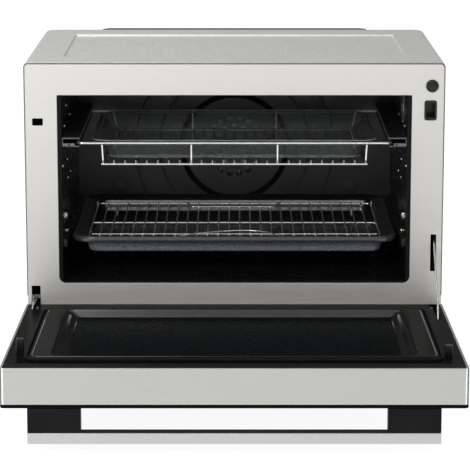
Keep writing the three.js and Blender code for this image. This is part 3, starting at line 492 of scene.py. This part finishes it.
bm = bmesh.new()
for radius in cavity["outerRings"]:
    half = [(radius - 1.6, 0), (radius - 0.8, 0.9), (radius, 1.2), (radius + 0.8, 0.9), (radius + 1.6, 0),
            (radius - 1.6, 0)]
    turned(bm, half, (0, backFace, cavity["fanUp"]), (0, -1, 0), 96)
for up, side in ((sillZ + 249, 1), (sillZ + 27, -1)):  # the outer ring runs out at the ceiling and the floor
    bmesh.ops.bisect_plane(bm, geom=bm.verts[:] + bm.edges[:] + bm.faces[:], plane_co=(0, 0, up),
                           plane_no=(0, 0, side), clear_outer=True)
for x in (-cavity["bulgeSide"], cavity["bulgeSide"]):
    bulge = bmesh.ops.create_uvsphere(bm, u_segments=20, v_segments=10, radius=9.5)["verts"]
    spot = Matrix.Translation((x, backFace, sillZ + cavity["bulgeUp"]))
    bmesh.ops.transform(bm, matrix=spot @ Matrix.Diagonal((1, 0.14, 1, 1)), verts=bulge)
keepPiece(bm, "back_embossing", "cabinet", backEnamel, place=cabinetPlace, smooth=60)

bm = bmesh.new()
for sign in (-1, 1):
    for y, up in cavity["wallMarks"]:
        mark = bmesh.ops.create_uvsphere(bm, u_segments=18, v_segments=10, radius=4.2)["verts"]
        spot = Matrix.Translation((sign * 206, y, sillZ + up))
        bmesh.ops.transform(bm, matrix=spot @ Matrix.Diagonal((0.55, 1, 1, 1)), verts=mark)
    for y, low, high in cavity["ledgeMarks"]:
        box(bm, sign * 206 - 4.8, sign * 206 + 4.8, y - 6.5, y + 6.5, sillZ + low, sillZ + high, 4.5, 5)
keepPiece(bm, "wall_embossing", "cabinet", pressedEnamel, place=cabinetPlace, smooth=60)

bm = bmesh.new()
floorRings = [(-62, 62, 60, 250, 60, 117.5), (-60.5, 60.5, 61.5, 248.5, 58, 118.3), (-59, 59, 63, 247, 56, 117.5)]
pressedSheet(bm, floorRings, False, False)
keepPiece(bm, "floor_embossing", "cabinet", cavityEnamel, place=cabinetPlace, smooth=60)

for side in ("left", "right"):
    low, high = (v * 1000 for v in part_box(f"upper_rail_{side}"))
    bm = nodeCopy(f"upper_rail_{side}", 0.35, 2)
    tab = (190.4, high.x - 0.3) if side == "right" else (low.x + 0.3, -190.4)  # clear of the basket's wire
    box(bm, *tab, low.y, low.y + 0.9, low.z, low.z + 4.4, 0.3, 2)
    box(bm, low.x + 0.3, high.x - 0.3, low.y, low.y + 0.9, high.z - 1.9, high.z, 0.3, 2)
    keepPiece(bm, f"shelf_rail_{side}", "cabinet", railSteel, [f"upper_rail_{side}"])
    # a thin black disc, painted shade standing in for the dark inside of the rail's hole
    bm = bmesh.new()
    holeX, holeZ = (low.x + high.x) / 2 - 2, low.z + 2.6
    rod(bm, (holeX, low.y - 0.05, holeZ), (holeX, low.y + 0.4, holeZ), 1.2, 20)
    keepPiece(bm, f"rail_hole_shade_{side}", "cabinet", blackRubber)
keepPiece(nodeCopy("lamp_lens", 0.8, 3), "lamp_glass", "cabinet", trayGlass, ["lamp_lens"])
for node in ("fan_motor", "ring_heater", "grill_heater", "steam_boiler", "hinge_bracket_left", "hinge_bracket_right"):
    dress(node, zincSteel)
dress("steam_pipe", brassPipe)
dress("water_pump", blackPlastic)
dress("control_board", boardGreen)
keepPiece(nodeCopy("convection_fan", 0.2, 1), "fan_wheel", "fan", zincSteel, ["convection_fan"])
print("cavity made")

# fittings on the front plate

keepPiece(nodeCopy("latch_socket", 0.35, 2), "latch_bezel", "cabinet", glossPlastic, ["latch_socket"])
keepPiece(nodeCopy("door_switch", 0.3, 1), "switch_housing", "cabinet", blackPlastic, ["door_switch"])

low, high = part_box("door_plunger")
plunger = ((low + high) / 2) * 1000
bm = bmesh.new()
turned(bm, [(0, 0.5), (4.4, 0.42), (5.2, 0.2), (5.6, 0.5), (6.2, 0.45), (6.8, -0.1), (7.0, -0.9), (7.0, -10.0),
            (2.5, -10.0), (2.5, -22.0), (0, -22.4)], (plunger.x, low.y * 1000 + 0.5, plunger.z), (0, -1, 0), 48)
keepPiece(bm, "plunger_button", "plunger", glossPlastic, ["door_plunger"], smooth=50)
print("front fittings made")

# door

door = {"edgeRound": 0.9, "cornerRound": 3.6}

bm = nodeCopy("door_frame")
low, high = (v * 1000 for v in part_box("door_frame"))
corners = [e for e in bm.edges if all(abs(v.co.x) > high.x - 0.1 and v.co.y < low.y + 1.5 for v in e.verts)
           and abs((e.verts[0].co - e.verts[1].co).normalized().z) > 0.9 and e.calc_face_angle(0) > 1]
bevelSome(bm, corners, door["cornerRound"], 5)
bevelSome(bm, sharpEdges(bm, 40), door["edgeRound"], 3)
for face in bm.faces:
    if abs(face.normal.x) > 0.12 and face.normal.y < -0.1 and abs(face.calc_center_median().x) > high.x - 4:
        face.material_index = 1 if abs(face.normal.x) < 0.6 else 2  # painted highlight on the round, painted shade at the side
keepPiece(bm, "door_edge", "door", [doorSteel, cornerPaintedHighlight, paintedShadeWire], ["door_frame"])
doorBack = (nodePlace.inverted() @ doorPlace).inverted()
bm = nodeCopy("door_inner_panel")
bmesh.ops.transform(bm, matrix=doorBack, verts=bm.verts)
for v in bm.verts:
    if v.co.z > doorFace + 0.5:
        v.co.z = doorFace - 0.5
keepPiece(bm, "door_plate", "door", panelEnamel, ["door_inner_panel"], place=doorPlace)


def doorRing(x, near, far, radius, up):
    return (-x, x, outFrom(far), outFrom(near), radius, doorFace + up)


bm = bmesh.new()
pressedSheet(bm, [
    doorRing(224.0, 50.0, 306.0, 14.0, -1.5),
    doorRing(224.0, 50.0, 306.0, 14.0, 0.6),
    doorRing(223.2, 50.8, 305.4, 13.4, 1.3),
    doorRing(219.6, 54.2, 302.6, 11.0, 3.9),
    doorRing(218.2, 55.6, 301.6, 10.4, 4.4),
    doorRing(216.6, 56.8, 300.8, 10.0, 4.5),
    doorRing(198.8, 60.4, 299.8, 7.0, 4.5),
    doorRing(197.6, 61.2, 299.2, 6.6, 4.3),
    doorRing(193.8, 63.9, 297.4, 5.6, 1.6),
    doorRing(192.2, 64.8, 296.8, 5.2, 1.2),
    doorRing(190.6, 65.6, 296.2, 5.0, 0.9),
    doorRing(186.6, 68.6, 294.4, 4.4, -2.2),
    doorRing(184.8, 69.6, 293.8, 4.2, -2.9),
    doorRing(183.6, 70.4, 293.2, 4.0, -3.2),
], False, False, 10)
for face in bm.faces:
    thin = min(e.calc_length() for e in face.edges) < 1.7
    face.material_index = 0 if abs(face.normal.z) > 0.985 else (2 if thin else 1)
    if not thin and abs(face.normal.x) > 0.3:
        face.material_index = 3  # side slopes stay dull
    if face.normal.y < -0.3 and face.calc_center_median().y > outFrom(75):
        face.material_index = 4  # painted highlight: the slope next to the oven gets a lighter enamel
keepPiece(bm, "door_pressing", "door", [panelEnamel, edgeEnamel, rimEnamel, blackRubber, slopePaintedHighlight],
          place=doorPlace, smooth=50)

keepPiece(nodeCopy("door_gasket", 1.0, 3, 50), "door_seal", "door", blackRubber, ["door_gasket"])
keepPiece(nodeCopy("door_inner_glass", 0.4, 2), "door_window", "door", windowGlass, ["door_inner_glass"])
keepPiece(nodeCopy("door_outer_panel", 0.5, 2), "door_front_glass", "door", windowGlass,
          ["door_outer_panel"])

bm = bmesh.new()
box(bm, -246.4, 246.4, outFrom(336.2), outFrom(319.5), doorFace - 0.4, doorFace + 0.35, 0.3, 2)
keepPiece(bm, "door_lip", "door", blackRubber, place=doorPlace)

for side in ("left", "right"):
    keepPiece(nodeCopy(f"handle_standoff_{side}", 0.7, 3), f"handle_leg_{side}", "door", blackPlastic,
              [f"handle_standoff_{side}"])
    dress(f"hinge_pin_{side}", zincSteel)
keepPiece(nodeCopy("handle_bar", 0.5, 3, 50), "handle", "door", barSteel, ["handle_bar"])
keepPiece(nodeCopy("latch_hook", 0.6, 3), "hook", "door", glossPlastic, ["latch_hook"])
keepPiece(nodeCopy("switch_post", 0.8, 3), "post", "door", glossPlastic, ["switch_post"])

strap = {"outer": (-241.6, 9.6), "inner": (-238.2, 7.8), "wire": 0.75}
bm = bmesh.new()
for (x, up), reach, footUp in ((strap["outer"], 33.0, 0.8), (strap["inner"], 29.0, 1.4)):
    path = [(x, outFrom(-1.0), doorFace + up), (x + 0.2, outFrom(3), doorFace + up - 0.4),
            (x * 0.6 - 240.6 * 0.4, outFrom(16), doorFace + up * 0.55), (-240.8, outFrom(reach), doorFace + footUp),
            (-240.8, outFrom(reach + 3), doorFace - 4)]
    bentWire(bm, filleted(path, 6), strap["wire"], 12)
keepPiece(bm, "hinge_fork", "door", linkSteel, ["hinge_strap_left"], place=doorPlace, smooth=60)
keepPiece(nodeCopy("support_link", 0.5, 2), "door_link", "link", linkSteel, ["support_link"])
print("door made")

# door controls

keepPiece(nodeCopy("control_dial", 0.8, 3, 50), "dial", "dial", barSteel, ["control_dial"])
for key in ("key_menu", "key_stop", "key_start"):
    bodyName = next(b for b, ns in frame["record"]["behaviour"]["bodies"].items() if key in ns)
    keepPiece(nodeCopy(key, 0.7, 3, 50), f"cap_{key}", bodyName, glossPlastic, [key])
dress("display_module", blackPlastic)
print("controls made")

# upper shelf

shelf = {"half": 187.7, "up": 283.5, "front": 15, "back": 272, "gridHalf": 157.0, "gridUp": 258.0, "bars": 24,
         "frameWire": 1.9, "gridWire": 1.5, "upright": 1.15, "bar": 1.05}
bm = bmesh.new()
h, z, y0, y1 = shelf["half"], shelf["up"], shelf["front"], shelf["back"]
corners = [(-h, y0, z), (h, y0, z), (h, y1, z), (-h, y1, z)]
bentWire(bm, filleted(corners, 7, True), shelf["frameWire"], 12, True)
g, zg = shelf["gridHalf"], shelf["gridUp"]
for y, sign, half, thick in ((y0, -1, 51.6, shelf["gridWire"]), (y1, 1, 54.4, shelf["bar"])):
    rod(bm, (-g - 2.4, y, zg), (g + 2.4, y, zg), thick, 12)
    for x in (-g, -half, half, g):
        lean = 1.6 if abs(x) == g else 0.0
        rod(bm, (x + math.copysign(lean, x), y - sign * 0.6, z), (x, y - sign * 0.6, zg), shelf["upright"])
for i in range(shelf["bars"] + 1):
    x = -g + 2 * g * i / shelf["bars"]
    path = [(x, y0 - 1.2, zg + 5.0), (x, y0 - 0.6, zg + 2.2), (x, y0 + 2.4, zg + 0.4), (x, y0 + 6, zg - 0.2),
            (x, y1 - 6, zg - 0.2), (x, y1 - 1, zg + 0.6), (x, y1, zg + 2.6)]
    bentWire(bm, path, shelf["bar"], 8)
# painted shade on the bars under the dish, painted light on the rear wires
for face in bm.faces:
    center = face.calc_center_median()
    if center.z < zg + 1.8 and center.y > y0 + 1.4:
        face.material_index = 1
    elif center.y > y1 - 4:
        face.material_index = 2
keepPiece(bm, "shelf_basket", "basket", [brightWire, paintedShadeWire, rearWirePaintedLight], ["wire_basket"],
          place=cabinetPlace, smooth=60)

glass = {"half": 172.2, "front": 31, "back": 266, "low": 259.8, "corner": 24}
bm = bmesh.new()


def glassRing(inset, up):
    return (-glass["half"] + inset, glass["half"] - inset, glass["front"] + inset, glass["back"] - inset,
            max(glass["corner"] - inset * 0.35, 8), glass["low"] + up)


pressedSheet(bm, [
    glassRing(24.0, 0.0), glassRing(20.5, 0.5), glassRing(18.6, 2.2), glassRing(7.0, 21.0), glassRing(5.2, 22.6),
    glassRing(1.0, 23.2), glassRing(0.0, 24.0), glassRing(0.8, 24.9), glassRing(5.5, 24.8), glassRing(8.4, 23.2),
    glassRing(10.0, 20.6), glassRing(21.6, 4.4), glassRing(23.6, 3.1), glassRing(27.0, 2.8),
], True, True, 10)
keepPiece(bm, "glass_dish", "glass_tray", trayGlass, ["glass_tray"], place=cabinetPlace, smooth=60)
# thin rings of paler glass, painted highlights along the dish's edges
bm = bmesh.new()
for inset, up, corner, thick in ((22.4, 3.6, 16, 0.45), (19.4, 0.9, 17, 0.28), (0.6, 24.2, 23, 0.4)):
    x, low, high, z = glass["half"] - inset, glass["front"] + inset, glass["back"] - inset, glass["low"] + up
    bentWire(bm, filleted([(-x, low, z), (x, low, z), (x, high, z), (-x, high, z)], corner, True, 7), thick, 8, True)
keepPiece(bm, "glass_dish_edge_highlights", "glass_tray", glassEdgeHighlight, place=cabinetPlace, smooth=60)
print("upper shelf made")

# lower shelf

tray = {"half": 196.3, "front": 8, "back": 286, "up": 171.0, "corner": 28}
bm = bmesh.new()


def trayRing(inset, down):
    return (-tray["half"] + inset, tray["half"] - inset, tray["front"] + inset, tray["back"] - inset,
            max(tray["corner"] - inset * 0.75, 8), tray["up"] - down)


strips = pressedSheet(bm, [
    trayRing(26.0, 23.0), trayRing(21.5, 22.4), trayRing(19.6, 20.6), trayRing(15.4, 7.4), trayRing(13.6, 5.2),
    trayRing(5.0, 4.8), trayRing(2.8, 6.0), trayRing(1.6, 7.8), trayRing(0.4, 7.2), trayRing(0.0, 5.0),
    trayRing(0.0, 2.4), trayRing(0.9, 0.7), trayRing(2.6, 0.0), trayRing(4.4, 0.4), trayRing(6.0, 1.7),
    trayRing(7.6, 2.5), trayRing(13.0, 2.8), trayRing(15.2, 3.6), trayRing(16.8, 6.0), trayRing(19.4, 18.2),
    trayRing(20.4, 19.9), trayRing(22.4, 20.9), trayRing(27.0, 21.2),
], True, True, 10)
for look, chosen in ((1, strips[:4]), (2, strips[8:12])):  # painted light: a lighter enamel on the outer walls, and a lighter one for the highlight on the lip's outer edge
    for strip in chosen:
        for face in strip:
            face.material_index = look
keepPiece(bm, "roasting_tray", "tray", [trayEnamel, trayWallPaintedLight, lipPaintedHighlight], ["enamel_tray"],
          place=cabinetPlace, smooth=55)

rack = {"half": 177.3, "front": 27.2, "back": 248.8, "up": 165.0, "bars": 27, "wire": 1.35, "bar": 0.95, "cross": 130,
        "rise": 44}
bm = bmesh.new()
g, y0, y1, z = rack["half"], rack["front"], rack["back"], rack["up"]
bentWire(bm, filleted([(-g, y0, z), (-g, y1, z), (g, y1, z), (g, y0, z)], 6, True), rack["wire"], 10, True)
rod(bm, (-g + 4, rack["rise"], z + 1.6), (g - 4, rack["rise"], z + 1.6), rack["bar"], 10)
rod(bm, (-g, rack["cross"], z - 1.6), (g, rack["cross"], z - 1.6), rack["wire"], 10)
for i in range(1, rack["bars"]):
    x = -g + 2 * g * i / rack["bars"]
    rod(bm, (x, y0, z + 0.2), (x, y1, z + 0.2), rack["bar"], 8)
rearLoop = [(-61, y1, z + 0.6), (-58, y1 - 30, z + 1.4), (54, y1 - 30, z + 1.4), (57, y1, z + 0.6)]
bentWire(bm, filleted(rearLoop, 7), rack["bar"] + 0.2, 10)
frontArc = [(-72, y0, z + 1.4), (-48, y0 + 16, z + 2.4), (0, y0 + 34, z + 2.8), (36, y0 + 30, z + 2.8),
            (58, y0, z + 1.4)]
bentWire(bm, filleted(frontArc, 26, steps=8), rack["bar"], 10)
for sign in (-1, 1):
    for y in (y0 + 26, y1 - 26):
        x = sign * (g - 2 * g * 2 / rack["bars"])
        path = [(x, y - 5, z), (x, y - 4, z - 11.6), (x, y + 4, z - 11.6), (x, y + 5, z)]
        bentWire(bm, filleted(path, 3), rack["bar"], 8)
    y = y1 - 14
    bentWire(bm, filleted([(sign * g, y, z), (sign * (g + 1.2), y, z + 5), (sign * (g + 1.2), y + 10, z + 5),
                           (sign * g, y + 12, z)], 3), rack["bar"], 8)
keepPiece(bm, "tray_rack", "grid", brightWire, ["wire_grid"], place=cabinetPlace, smooth=60)
print("lower shelf made")

# bay

keepPiece(nodeCopy("drip_tray", 0.7, 2), "drip_drawer", "drip_tray", blackPlastic, ["drip_tray"])
keepPiece(nodeCopy("water_tank", 0.7, 2), "tank_body", "tank", tankPlastic, ["water_tank"])
keepPiece(nodeCopy("tank_lid", 0.6, 2), "tank_cover", "tank", blackPlastic, ["tank_lid"])
print("bay made")

# floor, light and camera

studio = {
    "floorColor": (0.35, 0.35, 0.35),
    "floorGlow": 0.93,
    "world": 0.36,
    "key": 12.0,
    "overhead": 18.5,
    "strip": 8.5,
}
bm = bmesh.new()
bmesh.ops.create_grid(bm, x_segments=1, y_segments=1, size=12)
floorMesh = bpy.data.meshes.new("floor")
bm.to_mesh(floorMesh)
bm.free()
floorMat, floorShader = newMaterial("floorPaint", studio["floorColor"], 0.7)
floorShader.inputs["Emission Color"].default_value = (1, 1, 1, 1)
floorShader.inputs["Emission Strength"].default_value = studio["floorGlow"]
floorMesh.materials.append(floorMat)
floor = bpy.data.objects.new("floor", floorMesh)
bpy.context.scene.collection.objects.link(floor)
floor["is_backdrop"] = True

bpy.context.scene.view_settings.view_transform = "Standard"
world = bpy.data.worlds.new("studioWorld")
bpy.context.scene.world = world
world.use_nodes = True
world.node_tree.nodes["Background"].inputs["Color"].default_value = (1, 1, 1, 1)
world.node_tree.nodes["Background"].inputs["Strength"].default_value = studio["world"]


def softLight(name, place, target, size, power):
    light = bpy.data.lights.new(name, "AREA")
    light.shape = "RECTANGLE"
    light.size, light.size_y = size
    light.energy = power
    lamp = bpy.data.objects.new(name, light)
    bpy.context.scene.collection.objects.link(lamp)
    lamp.location = place
    lamp.rotation_mode = "QUATERNION"
    lamp.rotation_quaternion = (Vector(target) - Vector(place)).to_track_quat("-Z", "Y")


softLight("keyLight", (-1.0, -2.1, 1.1), (0, 0, 0.2), (0.8, 0.5), studio["key"])
softLight("overLight", (-0.8, 0.2, 2.1), (0, 0, 0.2), (1.6, 1.2), studio["overhead"])
softLight("stripLight", (0, -1.9, 1.05), (0, 0.1, 0.2), (2.6, 0.3), studio["strip"])

view = {"place": (0.0007, -2.7162, 0.7361), "pitch": 11.716, "lens": 176.72}
camera = bpy.data.cameras.new("camera")
camera.lens = view["lens"]
camera.sensor_width = 36
camera.clip_end = 50
cameraObject = bpy.data.objects.new("camera", camera)
bpy.context.scene.collection.objects.link(cameraObject)
cameraObject.location = view["place"]
cameraObject.rotation_euler = (math.radians(90 - view["pitch"]), 0, 0)
bpy.context.scene.camera = cameraObject

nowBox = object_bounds()
for label, found in (("cad box", cadBox), ("visual box", nowBox)):
    print(label, [tuple(round(c, 4) for c in v) for v in found])
